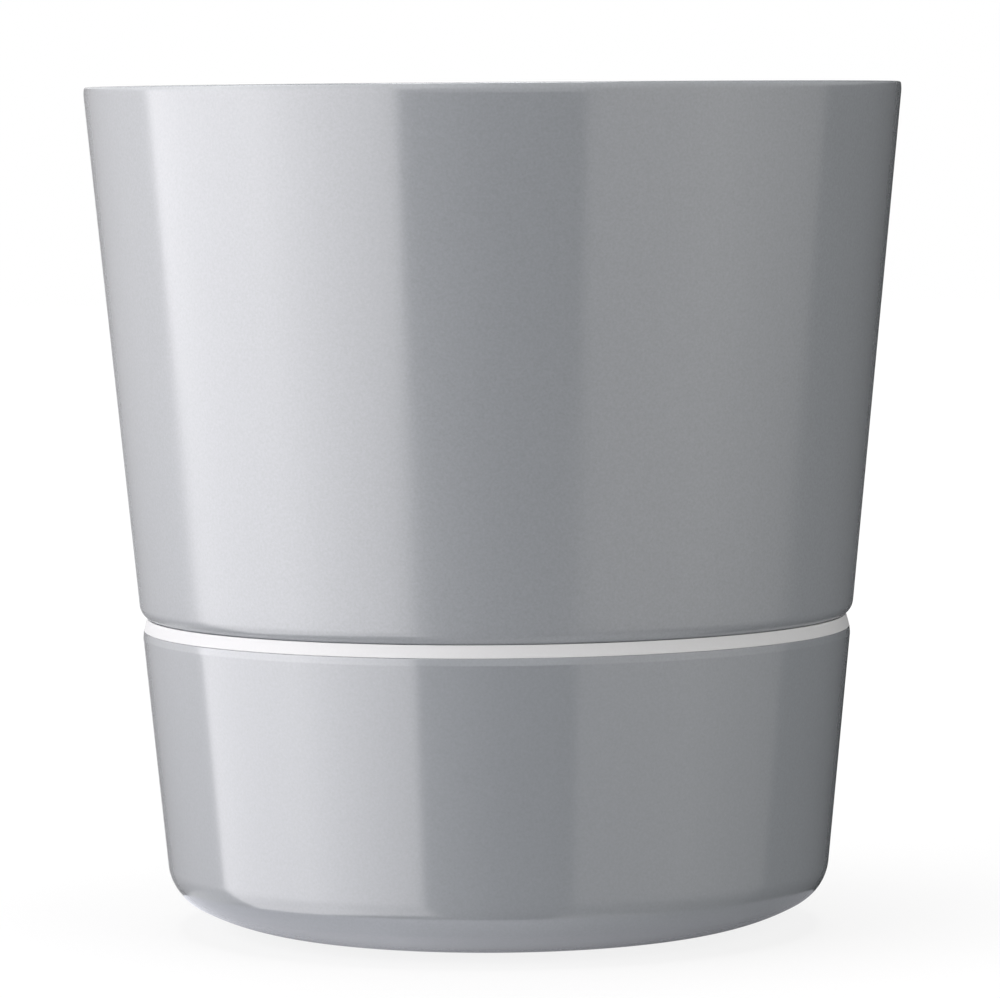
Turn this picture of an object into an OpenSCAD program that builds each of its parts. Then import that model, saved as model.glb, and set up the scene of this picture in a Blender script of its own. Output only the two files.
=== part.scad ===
// Self-watering planter: a tapered plant pot stands on a white seat collar, which stands on a reservoir bowl.
// Felt wicks carry the water up, and a filler shaft with a float gauge stands at the back of the pot.
// Millimetres, +Z up. The origin is on the floor, under the middle of the planter, and the front faces -Y.

/* [Planter] */
// Diameter of the outer cone at the rim
rim_d = 170; // [150:1:200]
// Height from the bowl's base to the pot's rim, without the feet
shell_h = 175; // [165:1:200]
// Lean of the outer walls from the vertical, in degrees
taper = 5.6; // [3:0.1:6.6]
// Wall thickness of the pot and of the bowl
wall = 2.8; // [2.2:0.1:3.4]
// Height of the narrow band that finishes each rim
rim_band = 1.5; // [1:0.1:2.5]
// Inward lean of the rim bands, in degrees
rim_lean = 5; // [0:0.5:8]
// Rounding of the rim edges
rim_round = 0.5; // [0.2:0.05:0.8]

/* [Reservoir bowl] */
// Height of the bowl from its base to its rim
bowl_h = 62.1; // [56:0.1:68]
// Radius where the wall starts to turn under
corner_r = 10; // [7:0.1:12]
// Radius that carries the turn on into the flat base
belly_r = 42; // [30:1:46]
// Slope from the vertical at which the corner radius meets the belly radius, in degrees
corner_turn = 61.5; // [54:0.5:68]
// Depth of the shallow dish under the base
dish_depth = 0.8; // [0.4:0.1:1.2]
// Flat land between the dish and the feet
dish_land = 3.5; // [2:0.5:6]

/* [Non-slip feet] */
// Diameter of one foot
foot_d = 11; // [8:0.5:13]
// Thickness of one foot
foot_t = 1.8; // [1.4:0.1:2.2]
// How far the feet stand out below the base
foot_lift = 0.6; // [0.4:0.1:1]
// Flat land between the feet and the start of the belly curve
foot_land = 3; // [1:0.5:5]
// Number of feet
foot_count = 4; // [3:1:6]

/* [Seat collar] */
// Height of the seat above the bowl's rim, the white band that shows
collar_h = 2.2; // [2:0.05:4]
// Height of the lip outside the seat
lip_h = 0.38; // [0.2:0.02:0.8]
// Width of the lip's top
lip_w = 0.25; // [0.1:0.05:0.6]
// Depth of the skirt inside the bowl
skirt_h = 8; // [5:0.5:12]
// Thickness of the skirt
skirt_t = 2.2; // [1.6:0.1:2.6]
// Width of the flat ring that the pot stands on
seat_w = 4.6; // [4.2:0.1:6]
// Width of the keys that stop the pot turning
key_w = 5; // [3:0.5:8]
// Reach of the keys into the pot's foot ring
key_reach = 1.6; // [1:0.1:1.8]
// Number of keys
key_count = 3; // [2:1:4]

/* [Plant pot] */
// Radius of the pot's outer bottom edge
edge_r = 3.5; // [2.8:0.1:4.5]
// Thickness of the pot's floor
floor_t = 3; // [2.4:0.1:4]
// Fillet between the floor and the wall inside
fillet_r = 6; // [4:0.5:8]
// Depth of the foot ring below the seat
foot_ring_h = 6; // [4:0.5:8]
// Thickness of the foot ring
foot_ring_t = 2.4; // [2:0.1:3]
// Diameter of the drain holes
drain_d = 4; // [2:0.5:5]
// Distance of the circle of drain holes inside the foot ring
drain_inset = 8; // [6:0.5:10]
// Number of places on the drain circle, one of them left blank behind the shaft
drain_places = 10; // [8:1:12]
// Number of drain holes in the row between the wicks
drain_row = 3; // [2:1:4]

/* [Felt wicks] */
// Width of a strip
wick_w = 18; // [14:0.5:20]
// Thickness of the felt
wick_t = 3; // [2:0.1:3.5]
// Distance between the two hanging legs of a strip
wick_span = 48; // [40:1:50]
// Distance of each strip from the middle, sideways
wick_x = 27; // [22:0.5:28]
// Middle of the strips, front to back
wick_y = -10; // [-12:0.5:-6]
// Gap between the wick's lower end and the bowl's floor
wick_clear = 4.5; // [3:0.5:10]
// Gap between the felt's face and the edge of its slot
slot_gap = 0.6; // [0.4:0.1:1]
// Gap between the felt's sides and the ends of its slot
slot_end_gap = 1.5; // [1:0.1:3]

/* [Filler shaft] */
// Outer diameter of the shaft
shaft_d = 28; // [24:0.5:30]
// Wall thickness of the shaft
shaft_wall = 1.8; // [1.4:0.1:2.2]
// Distance between the shaft's flange and the pot's foot ring
shaft_inset = 4; // [3:0.5:6]
// Width of the flange round the shaft
flange_w = 4; // [3:0.5:5]
// Thickness of the flange
flange_t = 2; // [1.6:0.1:3]
// Thickness of the gasket under the flange
gasket_t = 1.5; // [1:0.1:2]
// Height of the nut under the pot's floor
nut_h = 5; // [4:0.5:6]
// Radius of the finger notches round the nut
nut_notch_r = 1.8; // [1:0.1:2.4]
// Number of finger notches round the nut
nut_notches = 10; // [6:1:12]
// Gap between the shaft's foot and the bowl's floor
shaft_clear = 4.6; // [4:0.1:6]
// Width of the water slots near the shaft's foot
water_slot_w = 3; // [2:0.5:5]
// Height of the water slots
water_slot_h = 14; // [8:1:20]
// Thickness of the foot's strainer plate
strainer_t = 1.6; // [1.2:0.1:2]
// Diameter of the strainer's holes
strainer_hole_d = 3.8; // [2:0.2:4]
// Number of holes in the strainer
strainer_holes = 6; // [4:1:6]
// Height of the foot's plug inside the shaft
plug_h = 5; // [4:0.5:7]
// Wall thickness of the foot's plug
plug_wall = 1.2; // [0.8:0.1:1.6]

/* [Funnel and float gauge] */
// Distance of the funnel's rim below the pot's rim
funnel_drop = 30; // [30:1:40]
// Height of the funnel above the shaft
funnel_h = 8; // [6:0.5:10]
// Flare of the funnel beyond the shaft
funnel_flare = 5; // [3:0.5:6]
// Wall thickness of the funnel
funnel_wall = 1.6; // [1.2:0.1:2]
// Height of the hub that guides the tip
hub_h = 8; // [6:0.5:10]
// Wall thickness of the hub
hub_wall = 1.8; // [1.2:0.1:2.2]
// Width of the spokes that hold the hub
spoke_w = 2; // [1.5:0.1:3]
// Number of spokes
spoke_count = 3; // [3:1:4]
// Gap between the float and the plug of the shaft's foot
float_gap = 1.1; // [0.6:0.1:2]
// Height of the float
float_h = 20; // [14:0.5:24]
// Bevel on the float's edges
float_bevel = 1.5; // [0.5:0.1:2]
// Travel of the float from empty to full
float_travel = 28; // [20:1:28]
// Diameter of the float's stem
stem_d = 3; // [2.4:0.1:3.6]
// Diameter of the red indicator tip
tip_d = 6; // [5:0.1:7]
// Length of the tip that stays in the hub when the bowl is full
tip_spare = 2; // [1:0.5:4]

/* [Hidden] */

$fn = 96;
arc_steps = 10;
grey = "#8b9094";
white = "#f2f2f0";
soft_grey = "#5d6063";

// Clearances: round pieces that slide, pieces that plug together, the pot's rounded edge over the collar
slide_gap = 0.3;
plug_gap = 0.1;
edge_gap = 0.25;
// Depth by which joined shapes of one piece run into each other, and by which cuts run past a face
bite = 0.6;

// Heights that the pieces share
base_z = foot_lift;
bowl_floor_z = base_z + wall;
bowl_z = base_z + bowl_h;
seat_z = bowl_z + collar_h;
pot_floor_z = seat_z + floor_t;
rim_z = base_z + shell_h;

// Radii of the outer cone and of the cone inside the wall, at height z
function cone_r(z) = rim_d / 2 - (rim_z - z) * tan(taper);
function inner_r(z) = cone_r(z) - wall / cos(taper);
// Points of an arc about centre c, from angle a to angle b
function arc(c, r, a, b) =
    [for (i = [0 : arc_steps]) let (t = a + (b - a) * i / arc_steps) c + r * [cos(t), sin(t)]];
// Outer radius at the top of a rim band whose top is at z, before its edge is rounded
function rim_r(z) = cone_r(z - rim_band) - rim_band * tan(rim_lean);
// Rim of a shell whose top is at z: the band and the two rounded edges, down to the inner wall
function rim(z) = let (round_z = z - rim_round) concat(
    [[cone_r(z - rim_band), z - rim_band]],
    arc([rim_r(z) + rim_round * (tan(rim_lean) - 1 / cos(rim_lean)), round_z], rim_round, rim_lean, 90),
    arc([inner_r(round_z) + rim_round / cos(taper), round_z], rim_round, 90, 180 - taper));

// Bowl: centres of the corner arc and the belly arc, each tangent to the next surface
corner_z = base_z + belly_r * (1 - sin(corner_turn)) + corner_r * sin(corner_turn);
corner_c = [cone_r(corner_z - corner_r * sin(taper)) - corner_r * cos(taper), corner_z];
belly_c = [corner_c[0] + (corner_r - belly_r) * cos(corner_turn), base_z + belly_r];
foot_circle_r = belly_c[0] - foot_land - foot_d / 2;
dish_r = foot_circle_r - foot_d / 2 - dish_land;

// Pot: centre of the outer bottom edge, the foot ring inside the seat and the fillet on the floor
edge_c = [cone_r(seat_z + edge_r) - edge_r / cos(taper), seat_z + edge_r];
foot_ring_r = edge_c[0] - seat_w;
foot_ring_inner_r = foot_ring_r - foot_ring_t;
fillet_c = [inner_r(pot_floor_z + fillet_r) - fillet_r / cos(taper), pot_floor_z + fillet_r];
drain_circle_r = foot_ring_inner_r - drain_inset;

// Collar: the cove follows the pot's rounded edge, and the lip closes it
cove_r = edge_r + edge_gap;
cove_lip_r = edge_c[0] + sqrt(cove_r * cove_r - pow(edge_r - lip_h, 2));
collar_bore_r = foot_ring_r + slide_gap;

// Wicks: slots in the floor, with the felt bent over their edges
slot_w = wick_t + 2 * slot_gap;
slot_l = wick_w + 2 * slot_end_gap;
wick_foot_z = bowl_floor_z + wick_clear;

// Shaft: its place behind the middle, and heights from the foot up to the funnel's rim
shaft_r = shaft_d / 2;
shaft_bore_r = shaft_r - shaft_wall;
shaft_plug_r = shaft_bore_r - plug_gap;
flange_r = shaft_r + flange_w;
shaft_y = foot_ring_inner_r - shaft_inset - flange_r;
shaft_foot_z = bowl_floor_z + shaft_clear;
shaft_low_z = shaft_foot_z + strainer_t;
flange_z = pot_floor_z + gasket_t;
funnel_z = rim_z - funnel_drop;
shaft_top_z = funnel_z - funnel_h;
float_r = shaft_plug_r - plug_wall - float_gap;
tip_r = tip_d / 2;
tip_len = funnel_h + hub_h + float_travel + tip_spare;
stem_hole_r = (stem_d + plug_gap) / 2;

// A slot with round ends, along X, from z = -t up to z = 0
module round_slot(length, width, t) {
    straight = length - width;
    translate([-straight / 2, -width / 2, -t]) cube([straight, width, t]);
    for (side = [-1, 1])
        translate([side * straight / 2, 0, -t]) cylinder(d = width, h = t);
}

// Copies of the children on a circle of radius r, the first one at angle first
module around(count, r, first = 0) {
    for (i = [0 : count - 1])
        rotate(first + i * 360 / count) translate([r, 0, 0]) children();
}

// A plain ring from z = low to z = high
module ring(inner, outer, low, high) {
    translate([0, 0, low]) difference() {
        cylinder(r = outer, h = high - low);
        translate([0, 0, -bite]) cylinder(r = inner, h = high - low + 2 * bite);
    }
}

// Places the children on the shaft's axis
module at_shaft() {
    translate([0, shaft_y, 0]) children();
}

// Lower shell, open at the top, with a turned-under base and round seats for the feet
module reservoir_bowl() {
    outline = concat(
        [[0, base_z + dish_depth], [dish_r, base_z + dish_depth], [dish_r + dish_depth, base_z]],
        arc(belly_c, belly_r, -90, -corner_turn),
        arc(corner_c, corner_r, -corner_turn, -taper),
        rim(bowl_z),
        arc(corner_c, corner_r - wall, -taper, -corner_turn),
        arc(belly_c, belly_r - wall, -corner_turn, -90),
        [[0, bowl_floor_z]]);
    color(grey) difference() {
        rotate_extrude() polygon(outline);
        around(foot_count, foot_circle_r, 180 / foot_count)
            translate([0, 0, base_z - bite]) cylinder(d = foot_d + 2 * plug_gap, h = bite + foot_t - foot_lift);
    }
}

// Soft discs pressed into the base
module non_slip_feet() {
    color(soft_grey) around(foot_count, foot_circle_r, 180 / foot_count) cylinder(d = foot_d, h = foot_t);
}

// White ring between the shells: a skirt inside the bowl, a seat for the pot and keys for its foot ring
module seat_collar() {
    skirt_z = bowl_z - skirt_h;
    skirt_r = inner_r(bowl_z) - slide_gap;
    skirt_low_r = inner_r(skirt_z) - slide_gap;
    outline = concat(
        [[collar_bore_r, seat_z], [collar_bore_r, bowl_z], [skirt_r - skirt_t, bowl_z],
            [skirt_low_r - skirt_t, skirt_z], [skirt_low_r, skirt_z], [skirt_r, bowl_z],
            [rim_r(bowl_z), bowl_z], [cove_lip_r + lip_w, seat_z + lip_h]],
        arc(edge_c, cove_r, -asin((edge_r - lip_h) / cove_r), -asin(edge_r / cove_r)));
    color(white) {
        rotate_extrude() polygon(outline);
        intersection() {
            around(key_count, 0, 90)
                translate([foot_ring_r - key_reach, -key_w / 2, bowl_z])
                    cube([key_reach + slide_gap + bite, key_w, collar_h]);
            translate([0, 0, bowl_z]) cylinder(r = collar_bore_r + bite / 2, h = collar_h);
        }
    }
}

// Upper shell: floor with wick slots, drain holes and the shaft's hole, and a notched foot ring below
module plant_pot() {
    outline = concat(
        [[0, seat_z]],
        arc(edge_c, edge_r, -90, -taper),
        rim(rim_z),
        arc(fillet_c, fillet_r, -taper, -90),
        [[0, pot_floor_z]]);
    cut_t = floor_t + 2 * bite;
    color(grey) difference() {
        union() {
            rotate_extrude() polygon(outline);
            ring(foot_ring_inner_r, foot_ring_r, seat_z - foot_ring_h, seat_z + bite);
        }
        translate([0, 0, pot_floor_z + bite])
            for (x = [-wick_x, wick_x], y = [-wick_span / 2, wick_span / 2])
                translate([x, wick_y + y, 0]) round_slot(slot_l, slot_w, cut_t);
        translate([0, 0, seat_z - bite]) {
            for (i = [1 : drain_places - 1])
                rotate(90 + i * 360 / drain_places) translate([drain_circle_r, 0, 0])
                    cylinder(d = drain_d, h = cut_t);
            for (i = [1 : drain_row])
                translate([0, wick_y + wick_span * (i / (drain_row + 1) - 1 / 2), 0])
                    cylinder(d = drain_d, h = cut_t);
            at_shaft() cylinder(r = shaft_r + slide_gap, h = cut_t);
        }
        around(key_count, 0, 90)
            translate([foot_ring_inner_r - bite, -key_w / 2 - slide_gap, seat_z - foot_ring_h - bite])
                cube([foot_ring_t + 2 * bite, key_w + 2 * slide_gap, foot_ring_h + bite]);
    }
}

// One felt strip: it lies on the pot's floor and hangs through two slots into the water
module felt_wick() {
    inner_y = (wick_span - wick_t) / 2;
    outer_y = inner_y + wick_t;
    bend_c = [inner_y - slot_gap, pot_floor_z - slot_gap];
    other_bend_c = [-bend_c[0], bend_c[1]];
    side = concat(
        [[outer_y, wick_foot_z]],
        arc(bend_c, slot_gap + wick_t, 0, 90),
        arc(other_bend_c, slot_gap + wick_t, 90, 180),
        [[-outer_y, wick_foot_z], [-inner_y, wick_foot_z]],
        arc(other_bend_c, slot_gap, 180, 90),
        arc(bend_c, slot_gap, 90, 0),
        [[inner_y, wick_foot_z]]);
    color("#d9d3c4") translate([-wick_w / 2, wick_y, 0])
        rotate([90, 0, 90]) linear_extrude(wick_w) polygon(side);
}

module wick_left() {
    translate([-wick_x, 0, 0]) felt_wick();
}

module wick_right() {
    translate([wick_x, 0, 0]) felt_wick();
}

// White tube from the reservoir to the funnel, with a flange on the pot's floor and water slots at its foot
module filler_shaft() {
    slot_z = shaft_low_z + plug_h + water_slot_w + water_slot_h / 2;
    color(white) at_shaft() difference() {
        union() {
            translate([0, 0, shaft_low_z]) cylinder(r = shaft_r, h = shaft_top_z - shaft_low_z);
            translate([0, 0, flange_z]) cylinder(r = flange_r, h = flange_t);
        }
        translate([0, 0, shaft_low_z - bite])
            cylinder(r = shaft_bore_r, h = shaft_top_z - shaft_low_z + 2 * bite);
        for (turn = [0, 90])
            translate([0, 0, slot_z]) rotate(turn) rotate([0, 90, 0])
                translate([0, 0, shaft_d]) round_slot(water_slot_h, water_slot_w, 2 * shaft_d);
    }
}

// Soft ring between the shaft's flange and the pot's floor
module shaft_gasket() {
    color(soft_grey) at_shaft() ring(shaft_r + plug_gap, flange_r, pot_floor_z, flange_z);
}

// Ring nut that holds the shaft from below the floor
module shaft_nut() {
    color(white) at_shaft() difference() {
        ring(shaft_r + plug_gap, flange_r, seat_z - nut_h, seat_z);
        around(nut_notches, flange_r + nut_notch_r / 2)
            translate([0, 0, seat_z - nut_h - bite]) cylinder(r = nut_notch_r, h = nut_h + 2 * bite);
    }
}

// Strainer plate with a plug that closes the shaft's lower end and carries the float when the bowl is empty
module shaft_foot() {
    color(white) at_shaft() difference() {
        union() {
            translate([0, 0, shaft_foot_z]) cylinder(r = shaft_r, h = strainer_t);
            ring(shaft_plug_r - plug_wall, shaft_plug_r, shaft_low_z - bite, shaft_low_z + plug_h);
        }
        around(strainer_holes, shaft_bore_r / 2)
            translate([0, 0, shaft_foot_z - bite]) cylinder(d = strainer_hole_d, h = strainer_t + 2 * bite);
    }
}

// Buoyant cylinder that rides up the shaft with the water
module level_float() {
    low = shaft_low_z;
    high = low + float_h;
    bevel_r = float_r - float_bevel;
    outline = [[stem_hole_r, low], [bevel_r, low], [float_r, low + float_bevel],
        [float_r, high - float_bevel], [bevel_r, high], [stem_hole_r, high]];
    color("#e9e6dc") at_shaft() rotate_extrude() polygon(outline);
}

// Thin rod that carries the indicator tip on the float
module float_stem() {
    color(white) at_shaft() translate([0, 0, shaft_low_z])
        cylinder(d = stem_d, h = funnel_z - tip_d - shaft_low_z);
}

// Red tip with a round end that rises out of the funnel as the bowl fills
module indicator_tip() {
    low = funnel_z - tip_len;
    color("#c22d28") at_shaft() difference() {
        union() {
            translate([0, 0, low]) cylinder(r = tip_r, h = tip_len - tip_r);
            translate([0, 0, funnel_z - tip_r]) sphere(r = tip_r);
        }
        translate([0, 0, low - bite]) cylinder(r = stem_hole_r, h = tip_len - tip_d + bite);
    }
}

// Pour funnel that plugs into the shaft, with a spoked hub that guides the tip
module funnel_cap() {
    throat_r = shaft_plug_r - funnel_wall;
    funnel_r = shaft_r + funnel_flare;
    guide_r = tip_r + slide_gap;
    low = shaft_top_z - hub_h;
    outline = [[throat_r, low], [shaft_plug_r, low], [shaft_plug_r, shaft_top_z], [shaft_r, shaft_top_z],
        [funnel_r, funnel_z - funnel_wall], [funnel_r, funnel_z],
        [funnel_r - funnel_wall, funnel_z], [throat_r, shaft_top_z]];
    color(white) at_shaft() {
        rotate_extrude() polygon(outline);
        difference() {
            union() {
                translate([0, 0, low]) cylinder(r = guide_r + hub_wall, h = hub_h);
                around(spoke_count, 0, 90 + 180 / spoke_count)
                    translate([0, -spoke_w / 2, low]) cube([throat_r + funnel_wall / 2, spoke_w, hub_h / 2]);
            }
            translate([0, 0, low - bite]) cylinder(r = guide_r, h = hub_h + 2 * bite);
        }
    }
}

reservoir_bowl();
non_slip_feet();
seat_collar();
plant_pot();
wick_left();
wick_right();
filler_shaft();
shaft_gasket();
shaft_nut();
shaft_foot();
level_float();
float_stem();
indicator_tip();
funnel_cap();
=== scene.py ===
"""Looks of a self-watering planter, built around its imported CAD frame.

A grey plant pot stands on a white seat collar, which stands on a grey reservoir bowl. Felt wicks hang
through the pot's floor into the water, and a filler shaft with a float gauge stands at the back of the pot.
Lengths are metres, +Z is up and the front faces -Y, as in the CAD frame.
"""

import logging
import math
from dataclasses import dataclass, field
from enum import Enum
from typing import Mapping, Sequence

import bpy
import numpy as np
from mathutils import Matrix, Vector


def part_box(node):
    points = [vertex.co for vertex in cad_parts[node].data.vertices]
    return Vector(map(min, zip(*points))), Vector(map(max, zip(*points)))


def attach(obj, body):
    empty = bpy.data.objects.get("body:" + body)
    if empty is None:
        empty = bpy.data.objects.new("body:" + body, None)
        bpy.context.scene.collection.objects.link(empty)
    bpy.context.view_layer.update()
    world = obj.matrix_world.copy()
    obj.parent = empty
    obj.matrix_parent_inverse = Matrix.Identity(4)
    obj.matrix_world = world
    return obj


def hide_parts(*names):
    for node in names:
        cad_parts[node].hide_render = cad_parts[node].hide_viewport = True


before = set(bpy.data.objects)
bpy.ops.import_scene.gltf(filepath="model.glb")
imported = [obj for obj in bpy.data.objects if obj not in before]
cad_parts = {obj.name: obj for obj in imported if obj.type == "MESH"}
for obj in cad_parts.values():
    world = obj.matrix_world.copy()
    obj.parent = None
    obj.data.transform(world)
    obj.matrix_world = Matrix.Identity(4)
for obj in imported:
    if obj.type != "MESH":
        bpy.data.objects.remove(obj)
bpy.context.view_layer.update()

LOG = logging.getLogger("planter")
FULL_TURN = 2 * math.pi
SHARP_TURN = math.radians(32)
CUT_PAST = 0.0006
SAME_PLACE = 1e-8
TINY = 1e-12
Triple = tuple[float, float, float]
Colour = Triple
WHITE: Colour = (1.0, 1.0, 1.0)


class Body(Enum):
    """Bodies of the frame that the pieces ride on."""

    RESERVOIR = "reservoir"
    COLLAR = "collar"
    POT = "pot"
    FLOAT = "float"
    FUNNEL = "funnel"


class Slot(Enum):
    """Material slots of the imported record."""

    SHELL = "grey_shell"
    COLLAR = "white_collar"
    FITTINGS = "white_fittings"
    SOFT = "soft_feet"
    FELT = "wick_felt"
    FOAM = "float_foam"
    TIP = "red_tip"


class Joining(Enum):
    """How one closed shape is worked into another."""

    CUT = "DIFFERENCE"
    WELD = "UNION"


class NodeBox:
    """Place and size of a CAD node at rest, as the frame gives them."""

    def __init__(self, node: str) -> None:
        """Reads the node's lowest and highest corner."""
        self.low, self.high = (np.array(corner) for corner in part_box(node))

    @property
    def bottom(self) -> float:
        """Lowest height."""
        return float(self.low[2])

    @property
    def top(self) -> float:
        """Greatest height."""
        return float(self.high[2])

    @property
    def radius(self) -> float:
        """Half of the width."""
        return float(self.high[0] - self.low[0]) / 2

    @property
    def axis(self) -> np.ndarray:
        """Middle of the plan, x and y."""
        return (self.low[:2] + self.high[:2]) / 2


@dataclass(frozen=True)
class Surface:
    """Points of a mesh, one row each, and its faces as lists of row numbers."""

    points: np.ndarray
    faces: list[list[int]]

    def placed(self, offset: Sequence[float], turn: np.ndarray | None = None) -> "Surface":
        """Moves the surface: each point p becomes turn p + offset, or p + offset without a turn."""
        turned = self.points if turn is None else self.points @ turn.T
        return Surface(turned + np.asarray(offset), self.faces)


def together(surfaces: Sequence[Surface]) -> Surface:
    """Puts several surfaces into one, without joining them.

    Args:
        surfaces: The separate surfaces.

    Returns:
        One surface with all their points and faces.
    """
    points: list[np.ndarray] = []
    faces: list[list[int]] = []
    first = 0
    for surface in surfaces:
        faces += [[number + first for number in face] for face in surface.faces]
        points.append(surface.points)
        first += len(surface.points)
    return Surface(np.vstack(points), faces)


def about_z(angle: float) -> np.ndarray:
    """Rotation matrix for a turn of angle radians about +Z."""
    return np.array(Matrix.Rotation(angle, 3, "Z"))


def unit(vectors: np.ndarray) -> np.ndarray:
    """Vectors of length one along the rows of an array."""
    return vectors / np.maximum(np.linalg.norm(vectors, axis=-1, keepdims=True), TINY)


def arc(centre: Sequence[float], radius: float, start: float, stop: float, steps: int = 24) -> np.ndarray:
    """Arc in a plane: centre + radius (cos t, sin t), with t in equal steps from start to stop."""
    turn = np.linspace(start, stop, steps + 1)
    return np.asarray(centre) + radius * np.column_stack((np.cos(turn), np.sin(turn)))


def rounded(corners: Sequence[Sequence[float]], steps: int = 8) -> np.ndarray:
    """Rounds the corners of an outline.

    At a corner P, with unit directions a and b to its neighbours and half the angle h between them, the arc's
    centre lies on the bisector at radius / sin(h) from P. The arc runs between the two points on the sides
    that lie radius / tan(h) from P, as a spherical blend of the two radii that end there.

    Args:
        corners: Two coordinates and a radius for each corner in order, with radius 0 where it stays sharp.
        steps: Number of steps in each arc.

    Returns:
        The outline's points, without repeats.
    """
    rows = np.asarray(corners, float)
    point, radius = rows[:, :2], rows[:, 2:]
    back = unit(np.roll(point, 1, axis=0) - point)
    ahead = unit(np.roll(point, -1, axis=0) - point)
    half = np.arccos(np.clip((back * ahead).sum(axis=1, keepdims=True), -1, 1)) / 2
    centre = point + unit(back + ahead) * radius / np.sin(half)
    start = point + back * radius / np.tan(half) - centre
    stop = point + ahead * radius / np.tan(half) - centre
    sweep = (math.pi - 2 * half)[:, None]
    share = np.linspace(0, 1, steps + 1)[None, :, None]
    blend = np.sin((1 - share) * sweep) * start[:, None] + np.sin(share * sweep) * stop[:, None]
    return without_repeats((centre[:, None] + blend / np.sin(sweep)).reshape(-1, 2))


def without_repeats(points: np.ndarray) -> np.ndarray:
    """Drops each point that lies on the one before it."""
    gap = np.linalg.norm(np.diff(points, axis=0), axis=1)
    return points[np.concatenate(([True], gap > SAME_PLACE))]


def oblong(inner: float, outer: float, low: float, high: float, radii: Sequence[float]) -> np.ndarray:
    """Outline of an oblong in the plane of radius and height, with its corners rounded by the radii."""
    return rounded(np.column_stack(((inner, outer, outer, inner), (low, low, high, high), radii)))


def even_turns(count: int, first: float = 0.0) -> list[float]:
    """Angles of count even steps round a circle, from the first one."""
    return [first + number * FULL_TURN / count for number in range(count)]


def on_circle(radius: float, turns: Sequence[float], axis: Sequence[float] = (0.0, 0.0)) -> list[Triple]:
    """Places on a circle round an upright axis, one at each turn, at height 0."""
    return [(axis[0] + radius * math.cos(turn), axis[1] + radius * math.sin(turn), 0.0) for turn in turns]


def spaced(outline: np.ndarray, spacing: float) -> np.ndarray:
    """Adds points along the long sides of an open outline.

    A side of length l is cut into the smallest number of equal steps that are no longer than spacing.

    Args:
        outline: Points in order, shaped (n, 2).
        spacing: Longest step.

    Returns:
        The outline with the added points.
    """
    side = np.diff(outline, axis=0)
    count = np.maximum(1, np.ceil(np.linalg.norm(side, axis=1) / spacing)).astype(int)
    number = np.repeat(np.arange(len(side)), count)
    step = np.arange(count.sum()) - np.repeat(np.cumsum(count) - count, count)
    points = outline[number] + side[number] * (step / count[number])[:, None]
    return np.vstack((points, outline[-1:]))


def closed_grid(grid: np.ndarray, ring: bool) -> Surface:
    """Joins a grid of points into a closed surface.

    Each row closes on itself. In a ring the last row meets the first one too. Otherwise the first and the
    last row have shrunk to a point, and each of the two becomes a pole with a fan of triangles.

    Args:
        grid: Points, shaped (rows, columns, 3).
        ring: Whether the last row meets the first one.

    Returns:
        The closed surface.
    """
    columns = grid.shape[1]
    rows = grid if ring else grid[1:-1]
    number = np.arange(rows.shape[0] * columns).reshape(-1, columns)
    beside = np.roll(number, -1, axis=1)
    quads = np.stack((number, beside, np.roll(beside, -1, axis=0), np.roll(number, -1, axis=0)), axis=-1)
    points = rows.reshape(-1, 3)
    if ring:
        return Surface(points, quads.reshape(-1, 4).tolist())
    first, last = number.size, number.size + 1
    opening = np.stack((np.full(columns, first), beside[0], number[0]), axis=-1)
    closing = np.stack((number[-1], beside[-1], np.full(columns, last)), axis=-1)
    faces = quads[:-1].reshape(-1, 4).tolist() + opening.tolist() + closing.tolist()
    return Surface(np.vstack((points, grid[0, :1], grid[-1, :1])), faces)


def lathe(
    outline: np.ndarray,
    axis: Sequence[float] = (0.0, 0.0),
    segments: int = 256,
    ring: bool = False,
    inset: np.ndarray | None = None,
) -> Surface:
    """Turns an outline round a vertical axis: x = r cos(t), y = r sin(t), z = z, about the axis.

    Args:
        outline: Radius and height of each point, with the solid on the left of the line.
        axis: Place of the axis in plan.
        segments: Number of steps round the axis.
        ring: Whether the outline closes on itself; if not, it starts and ends on the axis.
        inset: How far each point moves inwards at each step, shaped (points, segments).

    Returns:
        The turned surface, with its faces outwards.
    """
    turn = np.arange(segments) * FULL_TURN / segments
    radius, height = outline.T[:, :, None]
    if inset is not None:
        radius = radius - inset
    x = axis[0] + radius * np.cos(turn)
    y = axis[1] + radius * np.sin(turn)
    return closed_grid(np.stack((x, y, np.broadcast_to(height, x.shape)), axis=-1), ring)


def slot_plug(length: float, width: float, low: float, high: float, flare: float = 0.0003) -> Surface:
    """Plug for cutting a slot with round ends along X, or a round hole where length equals width.

    At each height the outline is x = +-s + w cos(t), y = w sin(t), where s is half the straight length. Its
    half width w grows past both faces of the plate, which breaks the slot's edges.

    Args:
        length: Length of the slot over its round ends.
        width: Width of the slot.
        low: Height of the plate's lower face.
        high: Height of the plate's upper face.
        flare: Size of the broken edges.

    Returns:
        The closed plug.
    """
    columns = 40
    turn = (np.arange(columns) + 0.5) * FULL_TURN / columns
    wide = width / 2 + 2 * flare
    half = np.array([0, wide, width / 2, width / 2, wide, 0])[:, None]
    height = np.array([low - flare, low - flare, low + flare, high - flare, high + flare, high + flare])
    straight = (length - width) / 2 * np.sign(np.cos(turn)) * (half > 0)
    x = straight + half * np.cos(turn)
    z = np.broadcast_to(height[:, None], x.shape)
    return closed_grid(np.stack((x, half * np.sin(turn), z), axis=-1), ring=False)


def round_plug(radius: float, low: float, high: float, axis: Sequence[float] = (0.0, 0.0)) -> Surface:
    """Plain upright cylinder: an oblong turned round its axis."""
    return lathe(oblong(0, radius, low, high, (0,) * 4), axis, segments=96)


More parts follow.
